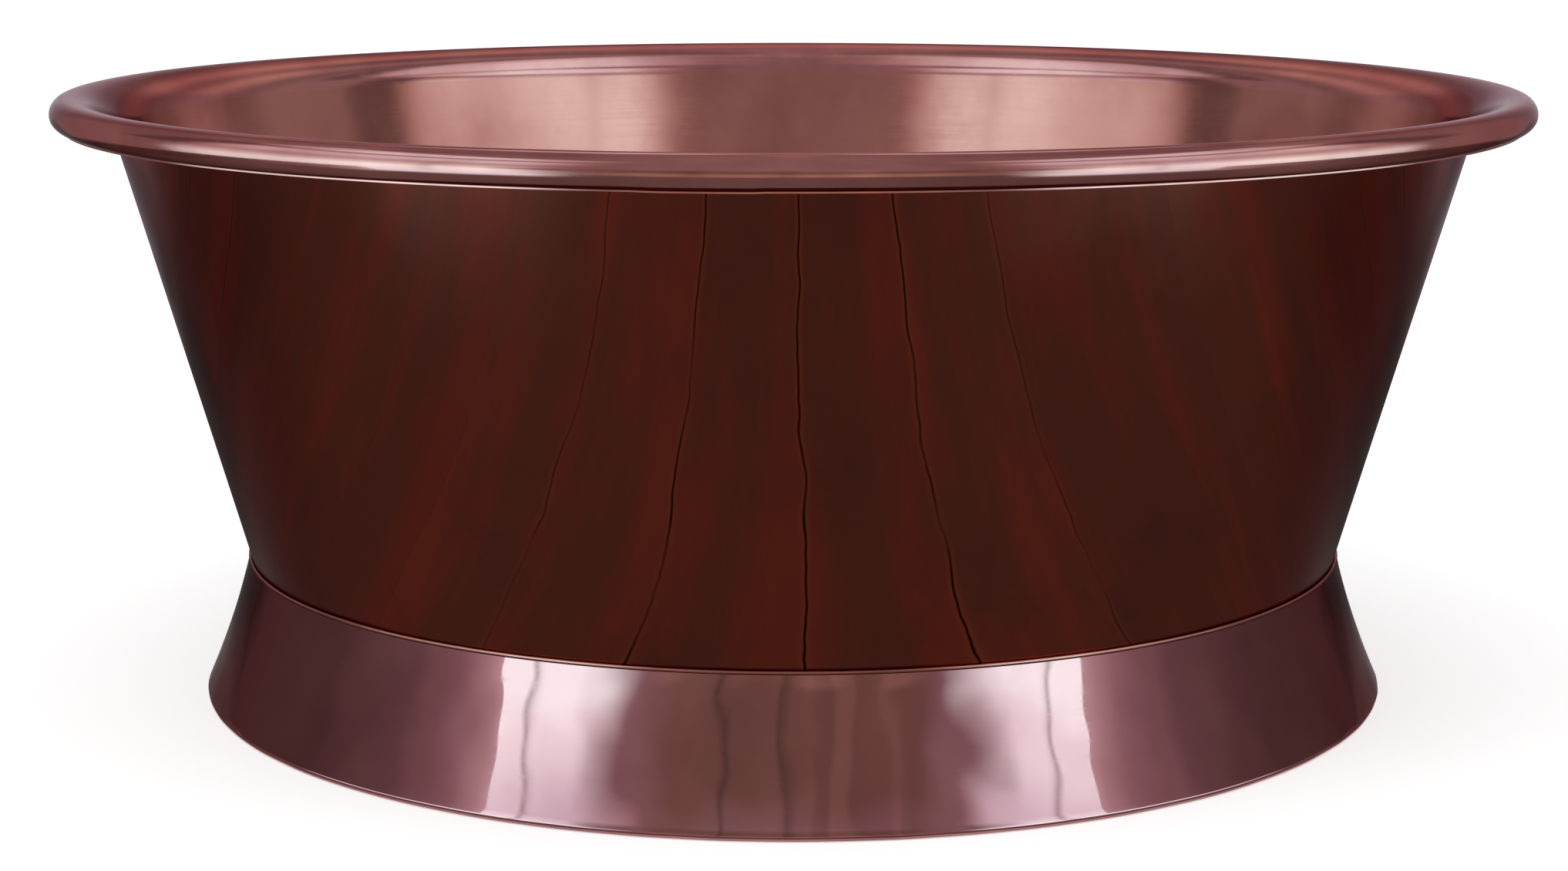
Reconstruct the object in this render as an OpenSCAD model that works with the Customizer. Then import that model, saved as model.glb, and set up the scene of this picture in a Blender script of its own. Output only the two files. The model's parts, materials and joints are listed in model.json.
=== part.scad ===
// Round free-standing copper bathtub on a flared plinth, with its hidden steel frame,
// levelling feet and push-to-open waste. Millimetres, +Z up, origin on the floor at the centre.

/* [Rim] */
// Width across the rolled rim
rim_d = 1520; // [1440:5:1600]
// Height of the rim above the floor
rim_h = 625; // [570:5:700]
// Thickness of the rolled edge
roll_d = 33; // [28:1:40]
// How far round the rolled edge is closed, in degrees
roll_turn = 300; // [250:5:320]
// Radius of the trumpet flare between wall and rolled edge
flare_r = 49; // [40:1:60]
// Wall of the steel tube inside the rolled edge
core_wall = 2.5; // [1.5:0.5:4]

/* [Copper shell] */
// Thickness of the copper sheet
sheet_t = 1.5; // [1.2:0.1:2]
// Width across the wall at the waist
waist_d = 1146; // [1120:2:1180]
// Height of the waist above the floor
waist_h = 145.5; // [135:0.5:165]
// How far below the waist the wall is joined to the cove
cove_joint_drop = 8; // [6:1:14]
// Outside radius of the cove round the pan
cove_r = 45; // [35:1:55]
// Fall of the pan from its edge to the sump
pan_fall = 6; // [3:0.5:9]
// Width across the flat sump at the waste
sump_d = 120; // [100:5:200]

/* [Plinth] */
// Width across the foot of the skirt
skirt_foot_d = 1245; // [1215:5:1280]
// How far the skirt's top edge stands out from the wall
lip_w = 2.5; // [2:0.5:6]
// How far the skirt is drawn in between its lip and its hem
bell_sag = 3.5; // [0:0.5:5]
// Thickness of the rolled hem
hem_d = 8; // [7:1:13]
// Daylight under the hem
hem_gap = 0.5; // [0.5:0.5:3]
// Radius of the bead soldered in the waist corner
bead_r = 2; // [1.5:0.25:3]

/* [Frame] */
// Thickness of the steel rings
frame_t = 6; // [4:1:8]
// Gap between the base ring and the skirt
base_gap = 27; // [22:1:35]
// Radial width of the base ring
base_ring_w = 85; // [75:1:95]
// Height of the base ring's underside
base_ring_z = 24; // [20:1:30]
// How far the cradle ring reaches out past the flat of the pan
cradle_reach = 22.5; // [15:0.5:28]
// Radial width of the cradle ring
cradle_w = 60; // [50:1:70]
// Thickness of the rubber seats at the pan's edge
seat_t = 5; // [3:0.5:8]
// Angle from each foot to the post on either side of it
post_angle = 11.25; // [10:0.25:15]
// Width across a post
post_d = 25; // [20:1:30]
// Wall of the frame's tubes
tube_wall = 2; // [1.5:0.5:3]
// Distance of each bearer from the centre
bearer_y = 190; // [170:5:230]
// Length of a bearer
bearer_l = 990; // [900:10:1000]
// Width of a bearer
bearer_w = 30; // [20:2:40]
// Height of a bearer
bearer_h = 20; // [15:1:30]
// Rubber blocks on each bearer
bearer_blocks = 5; // [3:1:7]
// Length of a rubber block
block_l = 80; // [50:5:100]

/* [Skirt brackets] */
// Number of brackets
bracket_count = 8; // [8:8:8]
// Width of a bracket
bracket_w = 30; // [20:2:40]
// Thickness of a bracket
bracket_t = 3; // [2:0.5:5]
// Height of the tab against the skirt
bracket_tab_h = 32; // [20:2:45]
// Bolt size of the brackets
bolt_d = 8; // [6:1:10]
// Distance of the bolts from the base ring's outer edge
bolt_inset = 18; // [16:1:22]

/* [Levelling feet] */
// Stud size of a foot
stud_d = 16; // [12:1:20]
// Length of a stud
stud_l = 70; // [60:2:90]
// Width across a foot's pad
pad_d = 56; // [40:2:70]
// Thickness of a foot's pad
pad_t = 8; // [6:1:10]
// Thickness of the rubber sole
sole_t = 3; // [2:0.5:5]
// Distance of the feet from the base ring's outer edge
foot_inset = 23; // [20:1:26]
// Height of a lock nut
lock_nut_h = 8; // [5:0.5:9]
// Height of a weld nut
weld_nut_h = 12; // [10:1:18]

/* [Waste] */
// Width across the threaded tail, a G 1 1/2 pipe thread
tail_d = 47.8; // [47.8:0.1:48]
// Wall of the tail
tail_wall = 3.9; // [3:0.1:5]
// Length of the tail below the pan
tail_l = 66; // [58:1:70]
// Width of the plain groove between the tail's two threads
groove_w = 3; // [2:0.5:5]
// Width across the waste flange
flange_d = 72; // [66:1:80]
// Thickness of the waste flange
flange_t = 3; // [2.5:0.5:5]
// Thickness of the seal above the pan
top_seal_t = 1.5; // [1:0.5:3]
// Thickness of the seal below the pan
bottom_seal_t = 4; // [3:0.5:6]
// Thickness of the slip washer
slip_t = 2; // [1:0.5:3]
// Height of the back nut
back_nut_h = 10; // [8:1:14]
// Width across the flats of the back nut
back_nut_af = 62; // [60:1:70]
// Width across the plug's cap
cap_d = 62; // [56:1:64]
// Thickness of the plug's cap
cap_t = 5; // [4:0.5:8]
// Thickness of the plug's sealing ring
ring_d = 3.6; // [3:0.2:4]
// Width across the plug's stem
stem_d = 8; // [6:0.5:9]
// Travel of the plug
plug_travel = 8; // [6:0.5:9]
// Turns of the plug's spring
spring_turns = 5; // [4:1:6]
// Wire thickness of the plug's spring
spring_wire = 1; // [0.8:0.1:1.2]

/* [Clearances] */
// Gap between pieces that are seated on each other
seat_gap = 0.2; // [0.1:0.05:0.3]
// Gap round the tube and the wire inside the rolled edges
core_gap = 0.35; // [0.3:0.05:0.6]
// Radial clearance of a running fit
run_gap = 0.05; // [0.02:0.01:0.08]
// Clearance round a bolt or stud in its hole
hole_gap = 0.5; // [0.3:0.1:1]

/* [Hidden] */
$fn = 96;
ring_fn = 240;
eps = 0.01;

// Colours of the finishes
copper = [0.72, 0.42, 0.36];
patina = [0.27, 0.11, 0.09];
steel = [0.55, 0.56, 0.58];
zinc = [0.78, 0.79, 0.80];
rubber = [0.10, 0.10, 0.11];
brass = [0.78, 0.62, 0.34];

// Rim and wall: the wall's outer line runs from the waist, tangent to the flare
rim_r = rim_d / 2;
roll_r = roll_d / 2;
roll_c = [rim_r - roll_r, rim_h - roll_r];
flare_c = [roll_c[0], rim_h - flare_r];
waist_r = waist_d / 2;
waist_p = [waist_r, waist_h];
flare_reach = norm(flare_c - waist_p);
wall_lean = atan2(flare_c[0] - waist_r, flare_c[1] - waist_h) - asin((flare_r - sheet_t) / flare_reach);
core_r = roll_r - sheet_t - core_gap;

// Cove below the waist, and the pan's shallow fall to the sump
cove_joint = [waist_r - cove_joint_drop * tan(wall_lean), waist_h - cove_joint_drop];
cove_c = polar(cove_joint, -cove_r, -wall_lean);
pan_edge_z = cove_c[1] - cove_r;
sump_z = pan_edge_z - pan_fall;
sump_r = sump_d / 2;

// Skirt: from the lip to a hem rolled round a wire
lip_p = [waist_r + lip_w, waist_h - 2 * bead_r];
hem_r = hem_d / 2;
hem_c = [skirt_foot_d / 2 - hem_r, hem_gap + hem_r];
skirt_reach = norm(hem_c - lip_p);
skirt_lean = atan2(hem_c[0] - lip_p[0], lip_p[1] - hem_c[1]) + asin(hem_r / skirt_reach);
hem_start = skirt_lean + atan(4 * bell_sag / skirt_reach);
hem_end = -200;
hem_steps = 20;
hem_p = polar(hem_c, hem_r, hem_start);
skirt_steps = 12;
skirt_wall = sheet_t / cos(skirt_lean);
wire_r = hem_r - sheet_t - core_gap;
bead_z = lip_p[1] + bead_r;
bead_c = [wall_r(bead_z) + bead_r / cos(wall_lean) + eps, bead_z];

// Frame heights and radii
base_top = base_ring_z + frame_t;
base_ring_r = skirt_inner(base_top) - base_gap;
cradle_r = cove_c[0] + cradle_reach;
cradle_top = pan_edge_z - seat_t;
cradle_under = cradle_top - frame_t;
post_pcr = cradle_r - cradle_w / 2;
bearer_z = cradle_under - bearer_h;
block_pitch = (bearer_l - 2 * block_l) / bearer_blocks;
bolt_r = bolt_d / 2;
bolt_pcr = base_ring_r - bolt_inset;
bolt_head_h = 0.65 * bolt_d;
nut_h = 0.8 * bolt_d;
foot_pcr = base_ring_r - foot_inset;
stud_r = stud_d / 2;
nut_af = 1.5 * stud_d;
hub_r = 0.75 * stud_d;
hub_top = base_ring_z - lock_nut_h - seat_gap;

// Waste heights, from the sump down and up
tail_r = tail_d / 2;
outlet_r = tail_r - tail_wall;
pan_hole_r = tail_r + 2;
tail_end = sump_z - tail_l;
flange_under = sump_z + sheet_t + top_seal_t;
flange_top = flange_under + flange_t;
seat_mouth_r = outlet_r + 4.5;
seal_under = sump_z - bottom_seal_t;
slip_under = seal_under - slip_t;
back_nut_z = slip_under - back_nut_h;
groove_top = back_nut_z - groove_w;
groove_r = tail_r - 1.5;
spider_t = 6;
spider_w = 6;
spider_top = sump_z - 30;
cartridge_r = stem_d;
cartridge_top = sump_z;
cartridge_neck = cartridge_top - 8;
spring_floor = spider_top + 2;
collar_t = 3;
collar_z = cartridge_neck - collar_t - plug_travel - 0.5;
cavity_r = cartridge_r - 1.5;
stem_r = stem_d / 2;
plug_body_r = outlet_r - 2.5;
cap_under = flange_top + 0.5;
ring_r = ring_d / 2;
ring_c = [plug_body_r + ring_r, flange_top - seat_mouth_r + plug_body_r + ring_r
    + (ring_r + seat_gap) * sqrt(2)];

function polar(c, r, a) = [c[0] + r * cos(a), c[1] + r * sin(a)];
function arc(c, r, from, to, steps) = [for (i = [0:steps]) polar(c, r, from + (to - from) * i / steps)];
function wall_r(z) = waist_r + (z - waist_h) * tan(wall_lean);
function pan_under(r) = sump_z + pan_fall * max(0, r - sump_r) / (cove_c[0] - sump_r);
// Outer radius of the skirt at a share of the way from lip to hem, drawn in as a parabola
function skirt_point(s) = [lip_p[0] + (hem_p[0] - lip_p[0]) * s - 4 * bell_sag * s * (1 - s),
    lip_p[1] + (hem_p[1] - lip_p[1]) * s];
function skirt_share(z) = (lip_p[1] - z) / (lip_p[1] - hem_p[1]);
function skirt_inner(z) = skirt_point(skirt_share(z))[0] - skirt_wall;

// A strip of sheet bent round a centre, from one angle to another
module sheet_arc(c, r, from, to) {
    steps = ceil((to - from) / 60);
    intersection() {
        translate(c) difference() {
            circle(r);
            circle(r - sheet_t);
        }
        polygon(concat([c], [for (i = [0:steps]) polar(c, 2 * r, from + (to - from) * i / steps)]));
    }
}

module revolved() {
    rotate_extrude($fn = ring_fn) children();
}

module flat_ring(outer, inner, height) {
    difference() {
        cylinder(r = outer, h = height);
        translate([0, 0, -1]) cylinder(r = inner, h = height + 2);
    }
}

// Copies of a piece round the centre, each moved out to a radius
module around(count, radius, first = 0) {
    for (i = [0:count - 1]) rotate(first + i * 360 / count) translate([radius, 0, 0]) children();
}

module hex_nut(across, height, bore) {
    difference() {
        cylinder(d = across / cos(30), h = height, $fn = 6);
        translate([0, 0, -1]) cylinder(r = bore, h = height + 2);
    }
}

// Shell
module tub_wall() {
    foot_in = polar(cove_joint, -sheet_t, -wall_lean);
    top_out = polar(flare_c, flare_r - sheet_t, 180 - wall_lean);
    top_in = polar(flare_c, flare_r, 180 - wall_lean);
    color(patina) revolved() polygon([cove_joint, top_out, top_in, foot_in]);
}

module tub_cove() {
    color(copper) revolved() sheet_arc(cove_c, cove_r, -90, -wall_lean);
}

module tub_pan() {
    color(copper) revolved() polygon([
        [cove_c[0], pan_edge_z],
        [cove_c[0], pan_edge_z + sheet_t],
        [sump_r, sump_z + sheet_t],
        [pan_hole_r, sump_z + sheet_t],
        [pan_hole_r, sump_z],
        [sump_r, sump_z]
    ]);
}

module rim_roll() {
    color(copper) revolved() {
        sheet_arc(flare_c, flare_r, 90, 180 - wall_lean);
        sheet_arc(roll_c, roll_r, 90 - roll_turn, 90);
    }
}

module rim_core_tube() {
    color(steel) revolved() translate(roll_c) difference() {
        circle(core_r);
        circle(core_r - core_wall);
    }
}

// Plinth
module plinth_skirt() {
    outer = [for (i = [0:skirt_steps - 1]) skirt_point(i / skirt_steps)];
    inner = [for (i = [skirt_steps - 1:-1:1]) skirt_point(i / skirt_steps) - [skirt_wall, 0]];
    hem_out = arc(hem_c, hem_r, hem_start, hem_end, hem_steps);
    hem_in = arc(hem_c, hem_r - sheet_t, hem_end, hem_start, hem_steps);
    lip_in = wall_r(lip_p[1]) + seat_gap;
    lip_under = lip_p[1] - sheet_t;
    lip = [[skirt_inner(lip_under), lip_under], [lip_in, lip_under], [lip_in, lip_p[1]]];
    color(copper) revolved() polygon(concat(outer, hem_out, hem_in, inner, lip));
}

module hem_wire() {
    color(steel) revolved() translate(hem_c) circle(wire_r);
}

module waist_bead() {
    color(copper) revolved() translate(bead_c) circle(bead_r - eps);
}

// Frame
module base_ring() {
    color(steel) translate([0, 0, base_ring_z]) difference() {
        flat_ring(base_ring_r, base_ring_r - base_ring_w, frame_t);
        around(4, foot_pcr, 45) translate([0, 0, -1]) cylinder(r = stud_r + hole_gap, h = frame_t + 2);
        around(bracket_count, bolt_pcr, 22.5) translate([0, 0, -1])
            cylinder(r = bolt_r + hole_gap / 2, h = frame_t + 2);
    }
}

module cradle_ring() {
    color(steel) translate([0, 0, cradle_under]) flat_ring(cradle_r, cradle_r - cradle_w, frame_t);
}

module cradle_seat() {
    inner = cradle_r - cradle_w + 5;
    outer = cove_c[0];
    color(rubber) revolved() polygon([
        [inner, cradle_top],
        [outer, cradle_top],
        [outer, pan_under(outer) - seat_gap],
        [inner, pan_under(inner) - seat_gap]
    ]);
}

module frame_posts() {
    color(steel) for (side = [-1, 1]) around(4, post_pcr, 45 + side * post_angle)
        translate([0, 0, base_top])
            flat_ring(post_d / 2, post_d / 2 - tube_wall, cradle_under - base_top);
}

module bearer(side) {
    color(steel) translate([0, side * bearer_y, bearer_z + bearer_h / 2]) difference() {
        cube([bearer_l, bearer_w, bearer_h], center = true);
        cube([bearer_l + 2, bearer_w - 2 * tube_wall, bearer_h - 2 * tube_wall], center = true);
    }
}

module bearer_front() {
    bearer(-1);
}

module bearer_back() {
    bearer(1);
}

// Rubber blocks on both bearers, cut to the fall of the pan
module bearer_seats() {
    high = pan_edge_z + seat_t;
    color(rubber) difference() {
        for (side = [-1, 1], i = [0:bearer_blocks - 1])
            translate([(i - (bearer_blocks - 1) / 2) * block_pitch - block_l / 2,
                side * bearer_y - bearer_w / 2, cradle_under])
                cube([block_l, bearer_w, high - cradle_under]);
        revolved() polygon([
            [0, sump_z - seat_gap],
            [sump_r, sump_z - seat_gap],
            [cove_c[0], pan_edge_z - seat_gap],
            [cove_c[0], high + 1],
            [0, high + 1]
        ]);
    }
}

// Angle brackets from the base ring to the skirt
module skirt_brackets() {
    heel = bolt_pcr - bracket_w / 2;
    tab_top = base_top + bracket_tab_h;
    clear = 2 * seat_gap;
    profile = [
        [heel, base_top],
        [skirt_inner(base_top) - clear, base_top],
        [skirt_inner(tab_top) - clear, tab_top],
        [skirt_inner(tab_top) - clear - bracket_t, tab_top],
        [skirt_inner(base_top + bracket_t) - clear - bracket_t, base_top + bracket_t],
        [heel, base_top + bracket_t]
    ];
    color(zinc) around(bracket_count, 0, 22.5) difference() {
        rotate([90, 0, 0]) translate([0, 0, -bracket_w / 2]) linear_extrude(bracket_w) polygon(profile);
        translate([bolt_pcr, 0, base_top - 1]) cylinder(r = bolt_r + hole_gap / 2, h = bracket_t + 2);
    }
}

module bracket_bolts() {
    head_z = base_top + bracket_t;
    color(zinc) around(bracket_count, bolt_pcr, 22.5) {
        translate([0, 0, head_z]) cylinder(d = 1.6 * bolt_d / cos(30), h = bolt_head_h, $fn = 6);
        translate([0, 0, base_ring_z - nut_h - 1]) cylinder(r = bolt_r, h = head_z - base_ring_z + nut_h + 2);
    }
}

module bracket_nuts() {
    color(zinc) around(bracket_count, bolt_pcr, 22.5) translate([0, 0, base_ring_z - nut_h])
        hex_nut(1.6 * bolt_d, nut_h, bolt_r + run_gap);
}

module weld_nuts() {
    color(zinc) around(4, foot_pcr, 45) translate([0, 0, base_top])
        hex_nut(nut_af, weld_nut_h, stud_r + run_gap);
}

module lock_nuts() {
    color(zinc) around(4, foot_pcr, 45) translate([0, 0, base_ring_z - lock_nut_h])
        hex_nut(nut_af, lock_nut_h, stud_r + run_gap);
}

// Levelling feet, numbered round the plinth from the front right
function foot_angle(number) = -45 + (number - 1) * 90;

module foot_stud(number) {
    color(zinc) rotate(foot_angle(number)) translate([foot_pcr, 0, sole_t + 2]) {
        cylinder(r = stud_r, h = stud_l - 2);
        translate([0, 0, stud_l - 2]) cylinder(r1 = stud_r, r2 = stud_r - 2, h = 2);
    }
}

module foot_pad(number) {
    color(zinc) rotate(foot_angle(number)) translate([foot_pcr, 0, sole_t]) difference() {
        union() {
            cylinder(d = pad_d, h = pad_t - sole_t);
            cylinder(r = hub_r, h = hub_top - sole_t);
        }
        translate([0, 0, 2]) cylinder(r = stud_r + run_gap, h = hub_top);
    }
}

module foot_sole(number) {
    color(rubber) rotate(foot_angle(number)) translate([foot_pcr, 0, 0]) {
        cylinder(d1 = pad_d - 2, d2 = pad_d, h = 1);
        translate([0, 0, 1]) cylinder(d = pad_d, h = sole_t - 1);
    }
}

// Waste
module waste_flange() {
    color(copper) {
        revolved() polygon([
            [seat_mouth_r, flange_top],
            [flange_d / 2 - 2, flange_top],
            [flange_d / 2, flange_under + 1],
            [flange_d / 2, flange_under],
            [tail_r, flange_under],
            [tail_r, groove_top],
            [groove_r, groove_top],
            [groove_r, groove_top - groove_w],
            [tail_r, groove_top - groove_w],
            [tail_r, tail_end],
            [outlet_r, tail_end],
            [outlet_r, flange_top - seat_mouth_r + outlet_r]
        ]);
        difference() {
            translate([0, 0, spider_top - spider_t]) union() {
                cylinder(r = cartridge_r + 1, h = spider_t);
                for (turn = [0, 90]) rotate(turn)
                    translate([-outlet_r - 1, -spider_w / 2, 0]) cube([2 * outlet_r + 2, spider_w, spider_t]);
            }
            translate([0, 0, spider_top - spider_t - 1]) cylinder(r = stem_r, h = spider_t + 2);
        }
    }
}

module waste_top_seal() {
    color(rubber) translate([0, 0, sump_z + sheet_t])
        flat_ring(flange_d / 2 - 2, tail_r + seat_gap, top_seal_t);
}

module waste_bottom_seal() {
    color(rubber) translate([0, 0, seal_under]) flat_ring(flange_d / 2, tail_r + seat_gap, bottom_seal_t);
}

module waste_slip_washer() {
    color(zinc) translate([0, 0, slip_under]) flat_ring(flange_d / 2 + 1, tail_r + seat_gap, slip_t);
}

module waste_back_nut() {
    color(brass) translate([0, 0, back_nut_z]) hex_nut(back_nut_af, back_nut_h, tail_r + run_gap);
}

// Cartridge: a sleeve screwed into the spider's hub, with a neck that guides the stem
module plug_cartridge() {
    color(brass) revolved() polygon([
        [0, spider_top - spider_t],
        [stem_r - run_gap, spider_top - spider_t],
        [stem_r - run_gap, spider_top],
        [cartridge_r, spider_top],
        [cartridge_r, cartridge_top],
        [stem_r + run_gap, cartridge_top],
        [stem_r + run_gap, cartridge_neck],
        [cavity_r, cartridge_neck],
        [cavity_r, spring_floor],
        [0, spring_floor]
    ]);
}

// Spring: one unbroken wire wound from the sleeve's floor to the stem's collar
module plug_spring() {
    coil_r = cavity_r - spring_wire / 2 - 0.4;
    rise = collar_z - spring_floor - spring_wire - 2 * seat_gap;
    steps = 12 * spring_turns;
    sides = 6;
    function wire_point(i, j) = let (turn = 360 * spring_turns * i / steps, side = 360 * j / sides,
        r = coil_r + spring_wire / 2 * cos(side))
        [r * cos(turn), r * sin(turn),
            spring_floor + seat_gap + spring_wire / 2 + rise * i / steps + spring_wire / 2 * sin(side)];
    points = [for (i = [0:steps], j = [0:sides - 1]) wire_point(i, j)];
    skin = [for (i = [0:steps - 1], j = [0:sides - 1], half = [0, 1])
        let (a = i * sides + j, b = i * sides + (j + 1) % sides)
        half == 0 ? [a, b, b + sides] : [a, b + sides, a + sides]];
    cap_a = [for (j = [1:sides - 2]) [0, j + 1, j]];
    last = steps * sides;
    cap_b = [for (j = [1:sides - 2]) [last, last + j, last + j + 1]];
    color(steel) polyhedron(points, concat(skin, cap_a, cap_b));
}

module plug_stem() {
    color(zinc) {
        translate([0, 0, collar_z]) cylinder(r = stem_r, h = cap_under - collar_z);
        translate([0, 0, collar_z]) cylinder(r = cavity_r - run_gap * 4, h = collar_t);
    }
}

module plug_cap() {
    body_foot = ring_c[1] - ring_r - 1.2;
    color(copper) difference() {
        revolved() polygon([
            [0, body_foot],
            [plug_body_r + 0.6, body_foot],
            [plug_body_r + 0.6, ring_c[1] - ring_r - seat_gap],
            [plug_body_r - run_gap, ring_c[1] - ring_r - seat_gap],
            [plug_body_r - run_gap, cap_under],
            [cap_d / 2, cap_under],
            [cap_d / 2, cap_under + 1.5],
            [cap_d / 2 - 3, cap_under + 3.5],
            [0, cap_under + cap_t]
        ]);
        translate([0, 0, body_foot - 1]) cylinder(r = stem_r + run_gap, h = cap_under - body_foot + 1);
    }
}

module plug_seal() {
    color(rubber) revolved() translate(ring_c) circle(ring_r - run_gap);
}

tub_wall();
tub_cove();
tub_pan();
rim_roll();
rim_core_tube();
plinth_skirt();
hem_wire();
waist_bead();
base_ring();
cradle_ring();
cradle_seat();
frame_posts();
bearer_front();
bearer_back();
bearer_seats();
skirt_brackets();
bracket_bolts();
bracket_nuts();
weld_nuts();
lock_nuts();
foot_stud(1);  // foot_1_stud
foot_stud(2);  // foot_2_stud
foot_stud(3);  // foot_3_stud
foot_stud(4);  // foot_4_stud
foot_pad(1);  // foot_1_pad
foot_pad(2);  // foot_2_pad
foot_pad(3);  // foot_3_pad
foot_pad(4);  // foot_4_pad
foot_sole(1);  // foot_1_sole
foot_sole(2);  // foot_2_sole
foot_sole(3);  // foot_3_sole
foot_sole(4);  // foot_4_sole
waste_flange();
waste_top_seal();
waste_bottom_seal();
waste_slip_washer();
waste_back_nut();
plug_cartridge();
plug_spring();
plug_stem();
plug_cap();
plug_seal();
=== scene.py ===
"""Round free-standing copper bathtub: polished sheet copper with a dark patinated outside.

The CAD nodes under the tub keep their shape and get their finishes here. The copper that shows
is built again as smooth, slightly wavy sheet, because planished copper is never dead flat and
its reflections wander.
"""

import json
import logging
import math
from dataclasses import dataclass
from enum import Enum

import bmesh
import bpy
import numpy as np
from bpy.types import ID, Material, NodeSocket, NodeTree, Object
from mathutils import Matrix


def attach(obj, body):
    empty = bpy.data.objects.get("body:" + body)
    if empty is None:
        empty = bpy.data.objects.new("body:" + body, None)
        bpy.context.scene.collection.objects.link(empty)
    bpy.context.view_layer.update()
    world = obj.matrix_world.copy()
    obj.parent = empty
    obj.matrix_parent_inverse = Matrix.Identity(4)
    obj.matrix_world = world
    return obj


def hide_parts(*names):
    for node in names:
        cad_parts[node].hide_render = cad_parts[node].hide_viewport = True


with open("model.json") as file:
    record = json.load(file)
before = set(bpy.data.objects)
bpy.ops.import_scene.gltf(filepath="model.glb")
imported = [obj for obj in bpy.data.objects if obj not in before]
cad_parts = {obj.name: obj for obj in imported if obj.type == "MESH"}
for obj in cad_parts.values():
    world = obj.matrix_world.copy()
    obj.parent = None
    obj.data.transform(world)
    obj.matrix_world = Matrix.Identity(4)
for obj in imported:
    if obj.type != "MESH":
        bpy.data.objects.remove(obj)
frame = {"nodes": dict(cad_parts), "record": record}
log = logging.getLogger("copper_bathtub")
MM = 0.001
# Edges that turn by more than this many degrees stay sharp.
SHARP = 40.0
# Radius and height in the tub's section.
Point = tuple[float, float]


# Meshes


def ease(low: float, high: float, x: np.ndarray) -> np.ndarray:
    """Rises smoothly from 0 at low to 1 at high, as 3t^2 - 2t^3."""
    t = np.clip((x - low) / (high - low), 0.0, 1.0)
    return t * t * (3.0 - 2.0 * t)


def arc(centre: Point, radius: float, start: float, end: float, steps: int) -> np.ndarray:
    """Points on a circle: centre + radius (cos a, sin a), with a from start to end.

    Args:
        centre: radius and height of the circle's centre in the section.
        radius: the circle's radius.
        start: first angle in degrees.
        end: last angle in degrees.
        steps: number of steps along the arc.

    Returns:
        Array of steps + 1 rows of section radius and height.
    """
    a = np.radians(np.linspace(start, end, steps + 1))
    return np.column_stack([centre[0] + radius * np.cos(a), centre[1] + radius * np.sin(a)])


def line(start: Point, end: Point, steps: int) -> np.ndarray:
    """Points at equal steps on a straight line of the section, both ends included."""
    t = np.linspace(0.0, 1.0, steps + 1)[:, None]
    return (1 - t) * np.array(start) + t * np.array(end)


def sheet_section(skin: np.ndarray, back: np.ndarray) -> np.ndarray:
    """Closed section of a sheet: the skin forwards, then the back in the other direction."""
    return np.vstack([skin, back[::-1]])


def put(name: str, data: ID) -> Object:
    """Makes an object and links it to the scene.

    Args:
        name: the object's name.
        data: its mesh, camera or lamp.

    Returns:
        The new object.
    """
    obj = bpy.data.objects.new(name, data)
    bpy.context.scene.collection.objects.link(obj)
    return obj


def surface(
    name: str,
    points: np.ndarray,
    *materials: Material,
    closed_profile: bool = True,
    closed_turn: bool = True,
) -> Object:
    """Makes a mesh object from a grid, as a rule one that is closed round the tub's axis.

    Each cell of the grid becomes one four-sided face. The faces are turned outwards by the sign
    of the enclosed volume, the sum of x times the face normal's x over all faces.

    Args:
        name: the object's name.
        points: array of rows round the axis, columns along the section, and x, y, z.
        materials: what goes into the object's slots.
        closed_profile: whether the section's last point joins its first.
        closed_turn: whether the last row joins the first.

    Returns:
        The new object, linked to the scene.
    """
    rows, columns = points.shape[:2]
    index = np.arange(rows * columns).reshape(rows, columns)
    right = np.roll(index, -1, axis=0)
    quads = np.stack([index, right, np.roll(right, -1, axis=1), np.roll(index, -1, axis=1)], axis=-1)
    quads = quads[: None if closed_turn else -1, : None if closed_profile else -1].reshape(-1, 4)
    corners = points.reshape(-1, 3)[quads]
    normals = np.cross(corners[:, 2] - corners[:, 0], corners[:, 3] - corners[:, 1])
    if float(np.sum(corners[:, :, 0].mean(axis=1) * normals[:, 0])) < 0:
        quads = quads[:, ::-1]
    mesh = bpy.data.meshes.new(name)
    mesh.from_pydata(points.reshape(-1, 3).tolist(), [], quads.tolist())
    mesh.shade_smooth()
    mesh.set_sharp_from_angle(angle=math.radians(SHARP))
    for material in materials:
        mesh.materials.append(material)
    return put(name, mesh)


def close_poles(obj: Object) -> None:
    """Welds the points that lie on each other where a section meets the axis.

    Args:
        obj: the object whose mesh is closed.
    """
    shape = bmesh.new()
    shape.from_mesh(obj.data)
    bmesh.ops.remove_doubles(shape, verts=shape.verts, dist=0.001 * MM)
    shape.to_mesh(obj.data)
    shape.free()


def turn_angles(count: int) -> np.ndarray:
    """Equal angles round the axis in radians, from 0 at the front."""
    return np.arange(count) * 2 * math.pi / count


def turn_degrees(count: int) -> np.ndarray:
    """The same angles in degrees, from -180 to 180."""
    return (np.degrees(turn_angles(count)) + 180) % 360 - 180


def place_round(
    turn: np.ndarray, radius: np.ndarray | float, height: np.ndarray | float, middle: float = 0.0
) -> np.ndarray:
    """Points at an angle round an upright axis at y = middle: x = r sin a, y = middle - r cos a."""
    points = np.broadcast_arrays(radius * np.sin(turn), middle - radius * np.cos(turn), height)
    return np.stack(points, axis=-1)


def revolve(section: np.ndarray, count: int, swell: np.ndarray | float = 0.0) -> np.ndarray:
    """Carries a section round the tub's axis.

    Args:
        section: rows of radius and height.
        count: number of steps round the axis; angle 0 is the front, -Y.
        swell: what is added to the radius at each step round and each point of the section.

    Returns:
        Grid of count by points by 3.
    """
    return place_round(turn_angles(count)[:, None], section[:, 0] + swell, section[:, 1])


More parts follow.
